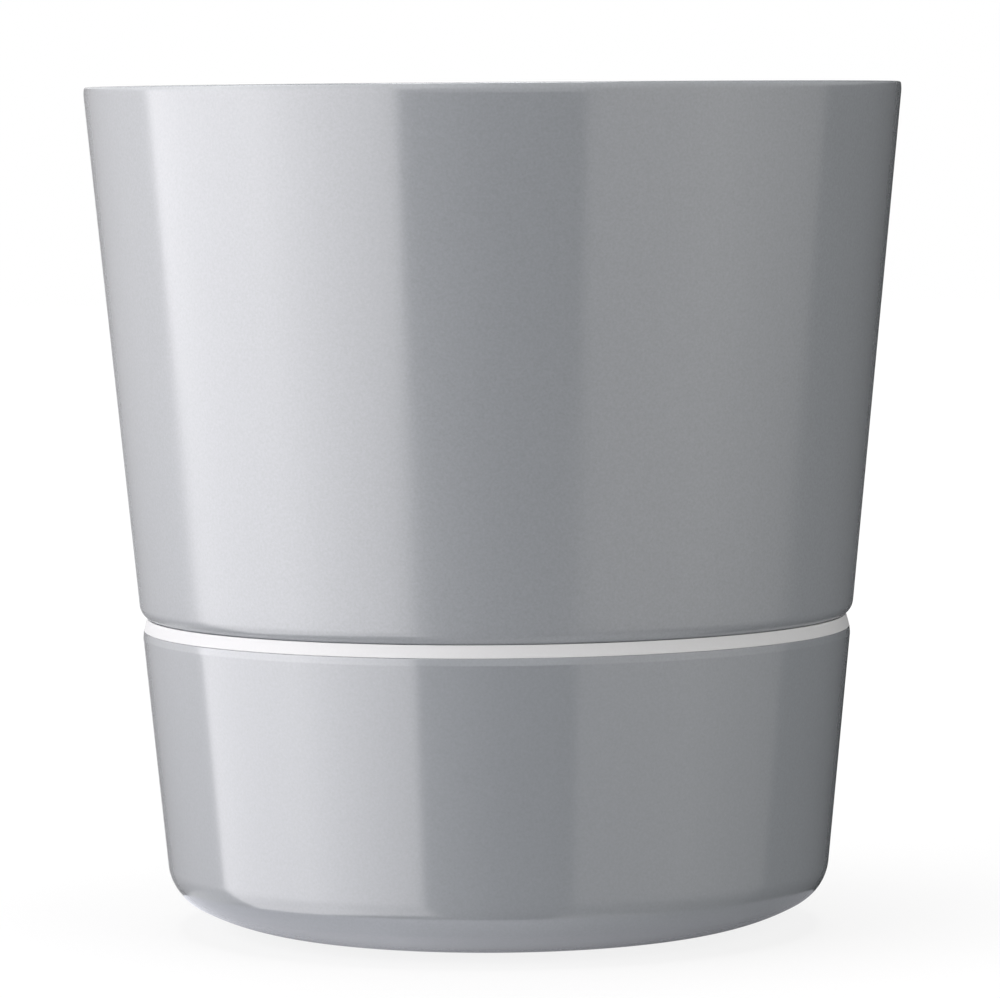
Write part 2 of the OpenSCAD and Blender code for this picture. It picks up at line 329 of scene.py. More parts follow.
def block(low: Sequence[float], high: Sequence[float], edge: float) -> Surface:
    """Upright block with rounded corners in plan.

    The plan is a rectangle whose corners are arcs of radius edge, carried from the lower to the upper face.

    Args:
        low: Lowest corner.
        high: Highest corner.
        edge: Radius of the upright edges.

    Returns:
        The closed block.
    """
    sides = ((high[0], low[1]), high[:2], (low[0], high[1]), low[:2])
    plan = rounded([(*corner, edge) for corner in sides], steps=5)
    middle = np.broadcast_to((np.asarray(low[:2]) + np.asarray(high[:2])) / 2, plan.shape)
    levels = ((middle, low[2]), (plan, low[2]), (plan, high[2]), (middle, high[2]))
    grid = np.stack([np.column_stack((xy, np.full(len(xy), z))) for xy, z in levels])
    return closed_grid(grid, ring=False)


def new_object(name: str, surface: Surface) -> bpy.types.Object:
    """Makes a mesh object at the origin from a surface.

    Args:
        name: Name of the object and of its mesh.
        surface: Its points and faces.

    Returns:
        The object, in the scene.
    """
    mesh = bpy.data.meshes.new(name)
    mesh.from_pydata(surface.points.tolist(), [], surface.faces)
    made = bpy.data.objects.new(name, mesh)
    bpy.context.scene.collection.objects.link(made)
    return made


def work_in(piece: bpy.types.Object, tools: Sequence[Surface], joining: Joining) -> None:
    """Cuts shapes out of a piece or welds them on, and leaves no modifier behind.

    Args:
        piece: The piece that changes.
        tools: The closed shapes.
        joining: Whether the shapes are cut out or welded on.
    """
    helper = new_object("helper", together(tools))
    modifier = piece.modifiers.new("joining", "BOOLEAN")
    modifier.operation = joining.value
    modifier.solver = "EXACT"
    modifier.object = helper
    rough = piece.data
    piece.data = bpy.data.meshes.new_from_object(piece.evaluated_get(bpy.context.evaluated_depsgraph_get()))
    piece.modifiers.clear()
    for mesh in (rough, helper.data):
        bpy.data.meshes.remove(mesh)
    piece.data.name = piece.name


class Signal:
    """Output of a node that takes part in Python arithmetic: each operator adds a Math node."""

    def __init__(self, graph: "Graph", socket: bpy.types.NodeSocket) -> None:
        """Keeps the graph and the socket."""
        self.graph = graph
        self.socket = socket

    def __add__(self, other: "Signal | float") -> "Signal":
        """This plus other."""
        return self.graph.math("ADD", self, other)

    def __sub__(self, other: "Signal | float") -> "Signal":
        """This minus other."""
        return self.graph.math("SUBTRACT", self, other)

    def __rsub__(self, other: float) -> "Signal":
        """Other minus this."""
        return self.graph.math("SUBTRACT", other, self)

    def __mul__(self, other: "Signal | float") -> "Signal":
        """This times other."""
        return self.graph.math("MULTIPLY", self, other)

    __radd__ = __add__
    __rmul__ = __mul__


Value = Signal | float | Sequence[float]


class Graph:
    """Node tree of one material or of the world."""

    def __init__(self, owner: bpy.types.Material | bpy.types.World, end: str) -> None:
        """Empties the owner's tree and adds its output node.

        Args:
            owner: The material or the world.
            end: Kind of the output node.
        """
        owner.use_nodes = True
        self.tree = owner.node_tree
        self.tree.nodes.clear()
        self.end = self.tree.nodes.new("ShaderNode" + end)

    def node(
        self,
        kind: str,
        settings: Mapping[str, object],
        sockets: Mapping[str | int, Value],
        output: str | int = 0,
    ) -> Signal:
        """Adds any node.

        Args:
            kind: The node's type, without ShaderNode.
            settings: Its settings, which are set first.
            sockets: Values or links of its inputs, by name or number.
            output: The output that is handed back.

        Returns:
            The chosen output.
        """
        made = self.tree.nodes.new("ShaderNode" + kind)
        for name, value in settings.items():
            setattr(made, name, value)
        for name, value in sockets.items():
            if isinstance(value, Signal):
                self.tree.links.new(value.socket, made.inputs[name])
            else:
                made.inputs[name].default_value = value
        return Signal(self, made.outputs[output])

    def math(self, operation: str, *values: Signal | float) -> Signal:
        """Adds a Math node that works on the values."""
        return self.node("Math", {"operation": operation}, dict(enumerate(values)))

    def place(self) -> Signal:
        """Object coordinates, in metres."""
        return self.node("TexCoord", {}, {}, "Object")

    def stretched(self, scale: Sequence[float], turn: Sequence[float]) -> Signal:
        """Object coordinates, turned and then scaled along each axis."""
        turned = self.node("Mapping", {}, {"Vector": self.place(), "Rotation": turn})
        return self.node("Mapping", {}, {"Vector": turned, "Scale": scale})

    def noise(self, place: Signal, scale: float, detail: float = 2.0, fineness: float = 0.5) -> Signal:
        """Smooth noise from 0 to 1 with scale cells in a metre."""
        sockets = {"Vector": place, "Scale": scale, "Detail": detail, "Roughness": fineness}
        return self.node("TexNoise", {}, sockets)

    def mix(self, share: Signal, first: Colour, second: Colour) -> Signal:
        """Blend of two colours, from first at share 0 to second at share 1."""
        sockets = {0: share, 6: (*first, 1), 7: (*second, 1)}
        return self.node("Mix", {"data_type": "RGBA"}, sockets, 2)

    def steps(self, value: Signal, low: float, high: float) -> Signal:
        """Smooth step from 0 where value is low to 1 where it is high."""
        settings = {"interpolation_type": "SMOOTHSTEP"}
        return self.node("MapRange", settings, {"Value": value, "From Min": low, "From Max": high})

    def bump(self, height: Signal) -> Signal:
        """Normal of a surface raised by height, in metres."""
        return self.node("Bump", {}, {"Height": height, "Strength": 1.0, "Distance": 1.0})

    def close(self, shader: Signal) -> None:
        """Links a shader to the output node."""
        self.tree.links.new(shader.socket, self.end.inputs["Surface"])


def shade(colour: Colour, factor: float) -> Colour:
    """The colour, lighter or darker by a factor."""
    return tuple(factor * part for part in colour)


@dataclass(frozen=True)
class Finish:
    """What every finish of the planter has: its slot, its colour and its gloss."""

    slot: Slot
    name: str
    colour: Colour
    roughness: float
    ior: float = 1.5

    def material(self) -> bpy.types.Material:
        """Gives the finish's material, made on first use."""
        found = bpy.data.materials.get(self.name)
        return found if found else self.make()

    def make(self) -> bpy.types.Material:
        """Builds the material's nodes.

        Returns:
            The new material.
        """
        made = bpy.data.materials.new(self.name)
        graph = Graph(made, "OutputMaterial")
        graph.close(graph.node("BsdfPrincipled", {}, {"IOR": self.ior, **self.sockets(graph)}))
        return made

    def sockets(self, graph: Graph) -> dict[str, Value]:
        """Inputs of the shader; each kind of finish gives its own."""
        raise NotImplementedError


@dataclass(frozen=True)
class MouldedPlastic(Finish):
    """Moulded plastic: faint clouds, fine specks, a slightly wavy face, and a gloss that may fade downwards.

    In each finish, a pattern's cells are its number of cells in a metre, and its gloss is the span of roughness
    that it adds.
    """

    cloudiness: float = 0.022
    cloud_cells: float = 24.0
    cloud_gloss: float = 0.03
    speckle: float = 0.14
    speck_cells: float = 1900.0
    speck_gloss: float = 0.02
    waviness: float = 0.000002
    wave_cells: float = 130.0
    dulling: float = 0.0
    dull_between: tuple[float, float] = (0.0, 1.0)

    def sockets(self, graph: Graph) -> dict[str, Value]:
        """Cloudy and speckled colour and gloss, and the bump of the mould's waves.

        Args:
            graph: Nodes of the finish's material.

        Returns:
            Values and links of the shader's inputs, by name.
        """
        place = graph.place()
        cloud = graph.noise(place, self.cloud_cells, detail=4.0)
        specks = graph.noise(place, self.speck_cells, fineness=0.65)
        wave = graph.noise(place, self.wave_cells, detail=1.0)
        polish = graph.steps(graph.node("SeparateXYZ", {}, {0: place}, "Z"), *self.dull_between)
        rough = self.roughness + self.dulling * (1 - polish)
        rough = rough + self.cloud_gloss * (cloud - 0.5) + self.speck_gloss * (specks - 0.5)
        spread = self.cloudiness + self.speckle
        tone = self.cloudiness / spread * cloud + self.speckle / spread * specks
        return {
            "Base Color": graph.mix(tone, shade(self.colour, 1 - spread), shade(self.colour, 1 + spread)),
            "Roughness": rough,
            "Normal": graph.bump(self.waviness * wave),
        }


@dataclass(frozen=True)
class Felt(Finish):
    """Needled felt: matted fibres that run in three directions, with painted shade in the hollows between them.
    """

    pile: float = 0.00022
    strand_cells: Triple = (2600.0, 2600.0, 190.0)
    strand_turns: tuple[Triple, ...] = ((1.0, -1.2, 0.0), (0.8, -0.5, 0.0), (0.8, 0.6, 0.0))
    patch_cells: float = 90.0
    patchiness: float = 0.25
    patch_gloss: float = 0.06
    depth_between: tuple[float, float] = (0.36, 0.64)
    # Colour factors for the painted shade in the fibre hollows and the painted light on the fibre tops.
    hollow_painted_shade: float = 0.62
    fibre_painted_light: float = 1.08
    sheen: float = 0.35
    sheen_roughness: float = 0.6

    def sockets(self, graph: Graph) -> dict[str, Value]:
        """Fibres as three stretched noises that cross, whose mean gives the bump and the colour: painted shade
        where it is low, painted light where it is high, with coarse patches of random tone.

        Args:
            graph: Nodes of the finish's material.

        Returns:
            Values and links of the shader's inputs, by name.
        """
        places = [graph.stretched(self.strand_cells, turn) for turn in self.strand_turns]
        first, second, third = (graph.noise(place, 1.0, detail=3.0) for place in places)
        mat = (first + second + third) * (1 / 3)
        patches = graph.noise(graph.place(), self.patch_cells, detail=3.0)
        depth = graph.steps(mat + self.patchiness * (patches - 0.5), *self.depth_between)
        # Painted shade and light: the colour darkens in the low hollows between fibres and lightens a little on
        # the high ones; the patches add random tone.
        hollow, fibre = shade(self.colour, self.hollow_painted_shade), shade(self.colour, self.fibre_painted_light)
        return {
            "Base Color": graph.mix(depth, hollow, fibre),
            "Roughness": self.roughness + self.patch_gloss * (patches - 0.5),
            "Sheen Weight": self.sheen,
            "Sheen Roughness": self.sheen_roughness,
            "Normal": graph.bump(self.pile * mat),
        }


@dataclass(frozen=True)
class BeadFoam(Finish):
    """Closed-cell foam: round beads pressed together, with fine creases where they meet and painted shade in
    them.
    """

    bead: float = 0.0024
    crease: float = 0.00009
    crease_width: float = 0.12
    # Colour factor of the painted shade in the creases, and of the bead faces between them.
    crease_painted_shade: float = 0.86
    bead_shade: float = 1.01
    grain: float = 0.00001
    grain_cells: float = 5200.0
    grain_gloss: float = 0.12

    def sockets(self, graph: Graph) -> dict[str, Value]:
        """Beads as the cells of a Voronoi pattern, lower towards their borders and darkened there with painted
        shade.

        Args:
            graph: Nodes of the finish's material.

        Returns:
            Values and links of the shader's inputs, by name.
        """
        settings = {"feature": "DISTANCE_TO_EDGE"}
        edge = graph.node("TexVoronoi", settings, {"Vector": graph.place(), "Scale": 1 / self.bead})
        swell = graph.steps(edge, 0.0, self.crease_width)
        grain = graph.noise(graph.place(), self.grain_cells)
        # Painted shade: the colour darkens towards the creases where the beads meet.
        crease, bead = shade(self.colour, self.crease_painted_shade), shade(self.colour, self.bead_shade)
        return {
            "Base Color": graph.mix(swell, crease, bead),
            "Roughness": self.roughness + self.grain_gloss * (grain - 0.5),
            "Normal": graph.bump(self.crease * swell + self.grain * grain),
        }


@dataclass(frozen=True)
class SoftRubber(Finish):
    """Soft rubber: a matt stipple with a little dust in it."""

    stipple: float = 0.00004
    stipple_cells: float = 3000.0
    stipple_gloss: float = 0.15
    dust_cells: float = 160.0
    dust_between: tuple[float, float] = (0.45, 0.75)
    dust_shade: float = 1.6

    def sockets(self, graph: Graph) -> dict[str, Value]:
        """Stipple as a fine noise, dust as a coarse one that pales the colour.

        Args:
            graph: Nodes of the finish's material.

        Returns:
            Values and links of the shader's inputs, by name.
        """
        stipple = graph.noise(graph.place(), self.stipple_cells)
        dust = graph.steps(graph.noise(graph.place(), self.dust_cells, detail=5.0), *self.dust_between)
        return {
            "Base Color": graph.mix(dust, self.colour, shade(self.colour, self.dust_shade)),
            "Roughness": self.roughness + self.stipple_gloss * (stipple - 0.5),
            "Normal": graph.bump(self.stipple * stipple),
        }


POT_GREY = MouldedPlastic(
    Slot.SHELL, "pot_grey", (0.239, 0.256, 0.273), 0.14, 1.7, dulling=0.07, dull_between=(0.085, 0.150))
BOWL_GREY = MouldedPlastic(Slot.SHELL, "bowl_grey", (0.236, 0.254, 0.272), 0.13, 1.7, speckle=0.10)
COLLAR_WHITE = MouldedPlastic(
    Slot.COLLAR, "collar_white", (0.55, 0.56, 0.566), 0.42, 1.4, cloudiness=0.012, speckle=0.03)
FITTING_WHITE = MouldedPlastic(
    Slot.FITTINGS, "fitting_white", (0.62, 0.624, 0.62), 0.30, cloudiness=0.015, speckle=0.03)
TIP_RED = MouldedPlastic(Slot.TIP, "tip_red", (0.56, 0.028, 0.022), 0.22, cloudiness=0.05)
FOOT_RUBBER = SoftRubber(Slot.SOFT, "foot_rubber", (0.11, 0.115, 0.12), 0.72)
WICK_FELT = Felt(Slot.FELT, "needled_felt", (0.58, 0.54, 0.46), 0.92)
FLOAT_FOAM = BeadFoam(Slot.FOAM, "bead_foam", (0.62, 0.605, 0.56), 0.62)


def seat(piece: bpy.types.Object, node: str, body: Body, finish: Finish) -> None:
    """Smooths and dresses a piece, lets it ride on its body and stands it in for its CAD node.

    Args:
        piece: The piece, in place.
        node: The CAD node that it stands for.
        body: The body that it rides on.
        finish: What it is made of.
    """
    piece.data.shade_smooth()
    piece.data.set_sharp_from_angle(angle=SHARP_TURN)
    piece.data.materials.clear()
    piece.data.materials.append(finish.material())
    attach(piece, body.value)
    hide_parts(node)
    LOG.info("%s rides on %s, with %d faces", piece.name, body.value, len(piece.data.polygons))


@dataclass(frozen=True)
class ShellCone:
    """Outer cone that the pot, the collar and the bowl share, and the rim that finishes a shell."""

    rim_radius: float = 0.085
    rim_top: float = field(default_factory=lambda: NodeBox("plant_pot").top)
    taper: float = math.radians(5.6)
    wall: float = 0.0028
    band: float = 0.0015
    band_lean: float = math.radians(5)
    edge: float = 0.0005
    row: float = 0.003

    def outer(self, height: float) -> float:
        """Radius of the outer cone at a height."""
        return self.rim_radius - (self.rim_top - height) * math.tan(self.taper)

    def inner(self, height: float) -> float:
        """Radius of the inner face of a wall at a height."""
        return self.outer(height) - self.wall / math.cos(self.taper)

    def band_radius(self, top: float) -> float:
        """Outer radius at the top of a rim band."""
        return self.outer(top - self.band) - self.band * math.tan(self.band_lean)

    def rim(self, top: float, crease: float, lip: float) -> tuple[Triple, ...]:
        """Corners of a rim: the crease below its band, its outer edge and its inner edge.

        Args:
            top: Height of the rim.
            crease: Radius of the crease.
            lip: Radius of the outer edge.

        Returns:
            Radius, height and corner radius of each.
        """
        foot = top - self.band
        outer_edge, inner_edge = (self.band_radius(top), top, lip), (self.inner(top), top, self.edge)
        return (self.outer(foot), foot, crease), outer_edge, inner_edge


@dataclass(frozen=True)
class ReservoirBowl:
    """Lower shell with a turned-under base, and the soft feet pressed into it."""

    cone: ShellCone
    crease: float = 0.0015
    lip_edge: float = 0.0002
    corner_radius: float = 0.010
    belly_radius: float = 0.042
    corner_turn: float = math.radians(61.5)
    dish_depth: float = 0.0008
    dish_radius: float = 0.0264
    dish_edge: float = 0.001
    foot_radius: float = 0.0055
    foot_gap: float = 0.0001
    foot_edge: float = 0.0003
    foot_count: int = 4

    def shell(self) -> Surface:
        """Turns the bowl's outline.

        The base runs from a shallow dish over the belly arc and the corner arc into the cone, each tangent to
        the next, and the inner face follows at the wall's thickness.

        Returns:
            The bowl without the seats of its feet.
        """
        bowl, cone = NodeBox("reservoir_bowl"), self.cone
        base, turn, taper = bowl.bottom, self.corner_turn, self.cone.taper
        rise = self.belly_radius * (1 - math.sin(turn)) + self.corner_radius * math.sin(turn)
        corner_z = base + rise
        wall_radius = cone.outer(corner_z - self.corner_radius * math.sin(taper))
        corner = (wall_radius - self.corner_radius * math.cos(taper), corner_z)
        belly_x = corner[0] + (self.corner_radius - self.belly_radius) * math.cos(turn)
        belly = (belly_x, base + self.belly_radius)
        dish_z, land_x = base + self.dish_depth, self.dish_radius + 2 * self.dish_depth
        under = rounded((
            (0, dish_z, 0), (self.dish_radius, dish_z, self.dish_edge), (land_x, base, self.dish_edge),
            (belly_x, base, 0),
        ))
        outside = np.vstack((
            arc(belly, self.belly_radius, -math.pi / 2, -turn),
            arc(corner, self.corner_radius, -turn, -taper),
        ))
        inside = np.vstack((
            arc(corner, self.corner_radius - cone.wall, -taper, -turn),
            arc(belly, self.belly_radius - cone.wall, -turn, -math.pi / 2),
        ))
        rim = rounded(((*outside[-1], 0), *cone.rim(bowl.top, self.crease, self.lip_edge), (*inside[0], 0)))
        outline = np.vstack((under, outside, rim, inside, [[0, base + cone.wall]]))
        return lathe(spaced(without_repeats(outline), cone.row))

    def foot_places(self) -> list[Triple]:
        """Middles of the feet on their circle, the first one between +X and +Y.

        Returns:
            One place for each foot.
        """
        first = math.pi / self.foot_count
        circle = (NodeBox("non_slip_feet").high[0] - self.foot_radius) / math.cos(first)
        return on_circle(circle, even_turns(self.foot_count, first))

    def build(self) -> None:
        """Makes the bowl and the feet."""
        feet, bowl = NodeBox("non_slip_feet"), NodeBox("reservoir_bowl")
        places = self.foot_places()
        shell = new_object("bowl_shell", self.shell())
        hole = round_plug(self.foot_radius + self.foot_gap, bowl.bottom - CUT_PAST, feet.top)
        work_in(shell, [hole.placed(place) for place in places], Joining.CUT)
        seat(shell, "reservoir_bowl", Body.RESERVOIR, BOWL_GREY)
        radii = (0, self.foot_edge, self.foot_edge / 2, 0)
        disc = lathe(oblong(0, self.foot_radius, feet.bottom, feet.top, radii), segments=64)
        pads = new_object("foot_pads", together([disc.placed(place) for place in places]))
        seat(pads, "non_slip_feet", Body.RESERVOIR, FOOT_RUBBER)


@dataclass(frozen=True)
class SeatCollar:
    """White ring between the shells, with a skirt inside the bowl and keys for the pot's foot ring."""

    cone: ShellCone
    pot_edge: float = 0.0035
    edge_gap: float = 0.00007
    lip_height: float = 0.00038
    lip_width: float = 0.00025
    skirt_thickness: float = 0.0022
    slide_gap: float = 0.0003
    seat_width: float = 0.0046
    key_width: float = 0.005
    key_reach: float = 0.0016
    key_count: int = 3
    key_edge: float = 0.0004
    key_lift: float = 0.0001
    key_drop: float = 0.0002
    bore_edge: float = 0.0003
    skirt_fillet: float = 0.0004
    skirt_edge: float = 0.0005
    shoulder_fillet: float = 0.0002
    band_edge: float = 0.00012
    lip_edge: float = 0.0001
    cove_edge: float = 0.00008

    @property
    def seat_height(self) -> float:
        """Height of the seat, where the pot's base stands."""
        return NodeBox("seat_collar").top - self.lip_height

    @property
    def bore(self) -> float:
        """Radius of the opening that the pot's foot ring drops into."""
        edge_x = self.cone.outer(self.seat_height + self.pot_edge) - self.pot_edge / math.cos(self.cone.taper)
        return edge_x - self.seat_width + self.slide_gap

    def ring(self) -> Surface:
        """Turns the collar's outline, whose cove follows the pot's rounded edge.

        Returns:
            The collar without its keys.
        """
        cone, seat_z = self.cone, self.seat_height
        rim, low = NodeBox("reservoir_bowl").top, NodeBox("seat_collar").bottom
        skirt = cone.inner(rim) - self.slide_gap
        skirt_low = cone.inner(low) - self.slide_gap
        edge_x = self.bore - self.slide_gap + self.seat_width
        cove = self.pot_edge + self.edge_gap
        drop = self.pot_edge - self.lip_height
        lip = edge_x + math.sqrt(cove**2 - drop**2)
        lip_z = seat_z + self.lip_height
        corners = (
            (self.bore, seat_z, self.bore_edge), (self.bore, rim, self.bore_edge),
            (skirt - self.skirt_thickness, rim, self.skirt_fillet),
            (skirt_low - self.skirt_thickness, low, self.skirt_edge), (skirt_low, low, self.skirt_edge),
            (skirt, rim, self.shoulder_fillet), (cone.band_radius(rim), rim, self.band_edge),
            (lip + self.lip_width, lip_z, self.lip_edge), (lip, lip_z, self.cove_edge),
        )
        start, stop = -math.asin(drop / cove), -math.asin(self.pot_edge / cove)
        hollow = arc((edge_x, seat_z + self.pot_edge), cove, start, stop, 8)
        return lathe(without_repeats(np.vstack((rounded(corners), hollow[1:]))), ring=True)

    def build(self) -> None:
        """Makes the collar and welds its keys on."""
        collar = new_object("collar_ring", self.ring())
        rim = NodeBox("reservoir_bowl").top
        inner = self.bore - self.slide_gap - self.key_reach
        low = (inner, -self.key_width / 2, rim + self.key_lift)
        high = (self.bore + self.slide_gap, self.key_width / 2, self.seat_height - self.key_drop)
        key = block(low, high, self.key_edge)
        turns = even_turns(self.key_count, math.pi / 2)
        work_in(collar, [key.placed((0, 0, 0), about_z(turn)) for turn in turns], Joining.WELD)
        seat(collar, "seat_collar", Body.COLLAR, COLLAR_WHITE)


@dataclass(frozen=True)
class PlantPot:
    """Upper shell: a tapered wall, a floor with slots and holes, and a notched foot ring below."""

    cone: ShellCone
    crease: float = 0.008
    edge: float = 0.0035
    fillet: float = 0.006
    ring_radius: float = 0.066372
    ring_thickness: float = 0.0024
    ring_fillet: float = 0.0006
    ring_edge: float = 0.0005
    groove: float = 0.0002
    notch_width: float = 0.0056
    notch_count: int = 3
    notch_edge: float = 0.0002
    slot_length: float = 0.021
    slot_width: float = 0.0042
    wick_thickness: float = 0.003
    drain: float = 0.004
    drain_inset: float = 0.008
    drain_places: int = 10
    drain_row: int = 3
    shaft_gap: float = 0.0003

    def shell(self) -> Surface:
        """Turns the pot's outline.

        It runs from the axis under the floor round the foot ring, over the bottom edge up the cone to the
        rim, and down the inner wall over a fillet back to the axis.

        Returns:
            The pot without its slots, holes and notches.
        """
        cone, pot = self.cone, NodeBox("plant_pot")
        under, floor = NodeBox("shaft_nut").top, NodeBox("shaft_gasket").bottom
        ring, inner_ring = self.ring_radius, self.ring_radius - self.ring_thickness
        corners = (
            (0, under, 0), (inner_ring, under, self.ring_fillet), (inner_ring, pot.bottom, self.ring_edge),
            (ring, pot.bottom, self.ring_edge), (ring, under, self.groove),
            (cone.outer(under), under, self.edge), *cone.rim(pot.top, self.crease, cone.edge),
            (cone.inner(floor), floor, self.fillet), (0, floor, 0),
        )
        return lathe(spaced(rounded(corners, steps=12), cone.row))

    def floor_cuts(self) -> list[Surface]:
        """Plugs for the wick slots, the drain holes and the shaft's hole.

        The drain holes stand on a circle, evenly, with the place behind the shaft left blank, and in a row
        between the wicks.

        Returns:
            The plugs, in place.
        """
        under, floor = NodeBox("shaft_nut").top, NodeBox("shaft_gasket").bottom
        slot = slot_plug(self.slot_length, self.slot_width, under, floor)
        hole = slot_plug(self.drain, self.drain, under, floor)
        bore = NodeBox("shaft_foot").radius + self.shaft_gap
        cuts = [round_plug(bore, under - CUT_PAST, floor + CUT_PAST, NodeBox("filler_shaft").axis)]
        for node in ("wick_left", "wick_right"):
            wick = NodeBox(node)
            legs = (wick.low[1] + self.wick_thickness / 2, wick.high[1] - self.wick_thickness / 2)
            cuts += [slot.placed((wick.axis[0], y, 0)) for y in legs]
        circle = self.ring_radius - self.ring_thickness - self.drain_inset
        places = on_circle(circle, even_turns(self.drain_places, math.pi / 2)[1:])
        places += [(0.0, y, 0.0) for y in np.linspace(*legs, self.drain_row + 2)[1:-1]]
        return cuts + [hole.placed(place) for place in places]

    def notches(self) -> list[Surface]:
        """Blocks that cut the notches for the collar's keys out of the foot ring.

        Returns:
            The blocks, in place.
        """
        inner, half = self.ring_radius - self.ring_thickness, self.notch_width / 2
        low = (inner - CUT_PAST, -half, NodeBox("plant_pot").bottom - CUT_PAST)
        high = (self.ring_radius + CUT_PAST, half, NodeBox("shaft_nut").top)
        cutter = block(low, high, self.notch_edge)
        turns = even_turns(self.notch_count, math.pi / 2)
        return [cutter.placed((0, 0, 0), about_z(turn)) for turn in turns]

    def build(self) -> None:
        """Makes the pot and cuts its openings."""
        pot = new_object("pot_shell", self.shell())
        work_in(pot, self.floor_cuts() + self.notches(), Joining.CUT)
        seat(pot, "plant_pot", Body.POT, POT_GREY)


@dataclass(frozen=True)
class FeltWicks:
    """Two felt strips that lie on the pot's floor and hang through its slots."""

    thickness: float = 0.003
    bend: float = 0.0006
    edge: float = 0.0011
    row: float = 0.0008
    columns: int = 72
    nap: float = 0.00007
    power: float = 0.25
    waves: tuple[Triple, ...] = ((3100, 5, 0), (1900, -9, 3), (4700, 23, 2))

    def path(self, wick: NodeBox) -> np.ndarray:
        """Middle line of a strip, front to back: up one leg, across the floor and down the other leg.

        Args:
            wick: Box of the CAD node.

        Returns:
            Points in the plane of y and z.
        """
        front, back = wick.low[1] + self.thickness / 2, wick.high[1] - self.thickness / 2
        top = wick.top - self.thickness / 2
        radius = self.bend + self.thickness / 2
        corners = ((front, wick.bottom, 0), (front, top, radius), (back, top, radius), (back, wick.bottom, 0))
        return spaced(rounded(corners, steps=10), self.row)

    def strip(self, wick: NodeBox) -> Surface:
        """Carries a rounded oblong section along the middle line.

        The section is a superellipse: across the strip |cos t| ^ power, through it |sin t| ^ power, with
        their signs. It closes over a rounded edge at both ends. Crossing sine waves pull the faces in by up
        to twice the nap, so that the felt never leaves its CAD solid.

        Args:
            wick: Box of the CAD node.

        Returns:
            The closed strip.
        """
        line = self.path(wick)
        along = np.concatenate(([0], np.cumsum(np.linalg.norm(np.diff(line, axis=0), axis=1))))
        ahead = unit(np.gradient(line, along, axis=0))
        out = np.column_stack((ahead[:, 1], -ahead[:, 0]))
        turn = (np.arange(self.columns) + 0.5) * FULL_TURN / self.columns
        across = np.sign(np.cos(turn)) * np.abs(np.cos(turn)) ** self.power
        through = np.sign(np.sin(turn)) * np.abs(np.sin(turn)) ** self.power
        ends = np.minimum(along, along[-1] - along) / self.edge
        full = np.sqrt(1 - (1 - np.clip(ends, 0, 1)) ** 2)[:, None]
        metre = along[:, None]
        waves = [np.sin(a * metre + b * across + c * through) for a, b, c in self.waves]
        pull = self.nap * (1 + np.mean(waves, axis=0))
        half_width = (wick.radius - self.edge * (1 - full)) * (full > 0)
        half_thick = self.thickness / 2 * full
        x = wick.axis[0] + across * np.maximum(half_width - pull, 0)
        offset = through * np.maximum(half_thick - pull, 0)
        y = line[:, :1] + out[:, :1] * offset
        z = line[:, 1:] + out[:, 1:] * offset
        x = np.where(full > 0, x, wick.axis[0])
        return closed_grid(np.stack((x, y, z), axis=-1), ring=False)

    def build(self) -> None:
        for node in ("wick_left", "wick_right"):
            wick = NodeBox(node)
            line = self.path(wick)
            felt = new_object(node + "_strip", self.strip(wick))
            seat(felt, node, Body.POT, WICK_FELT)


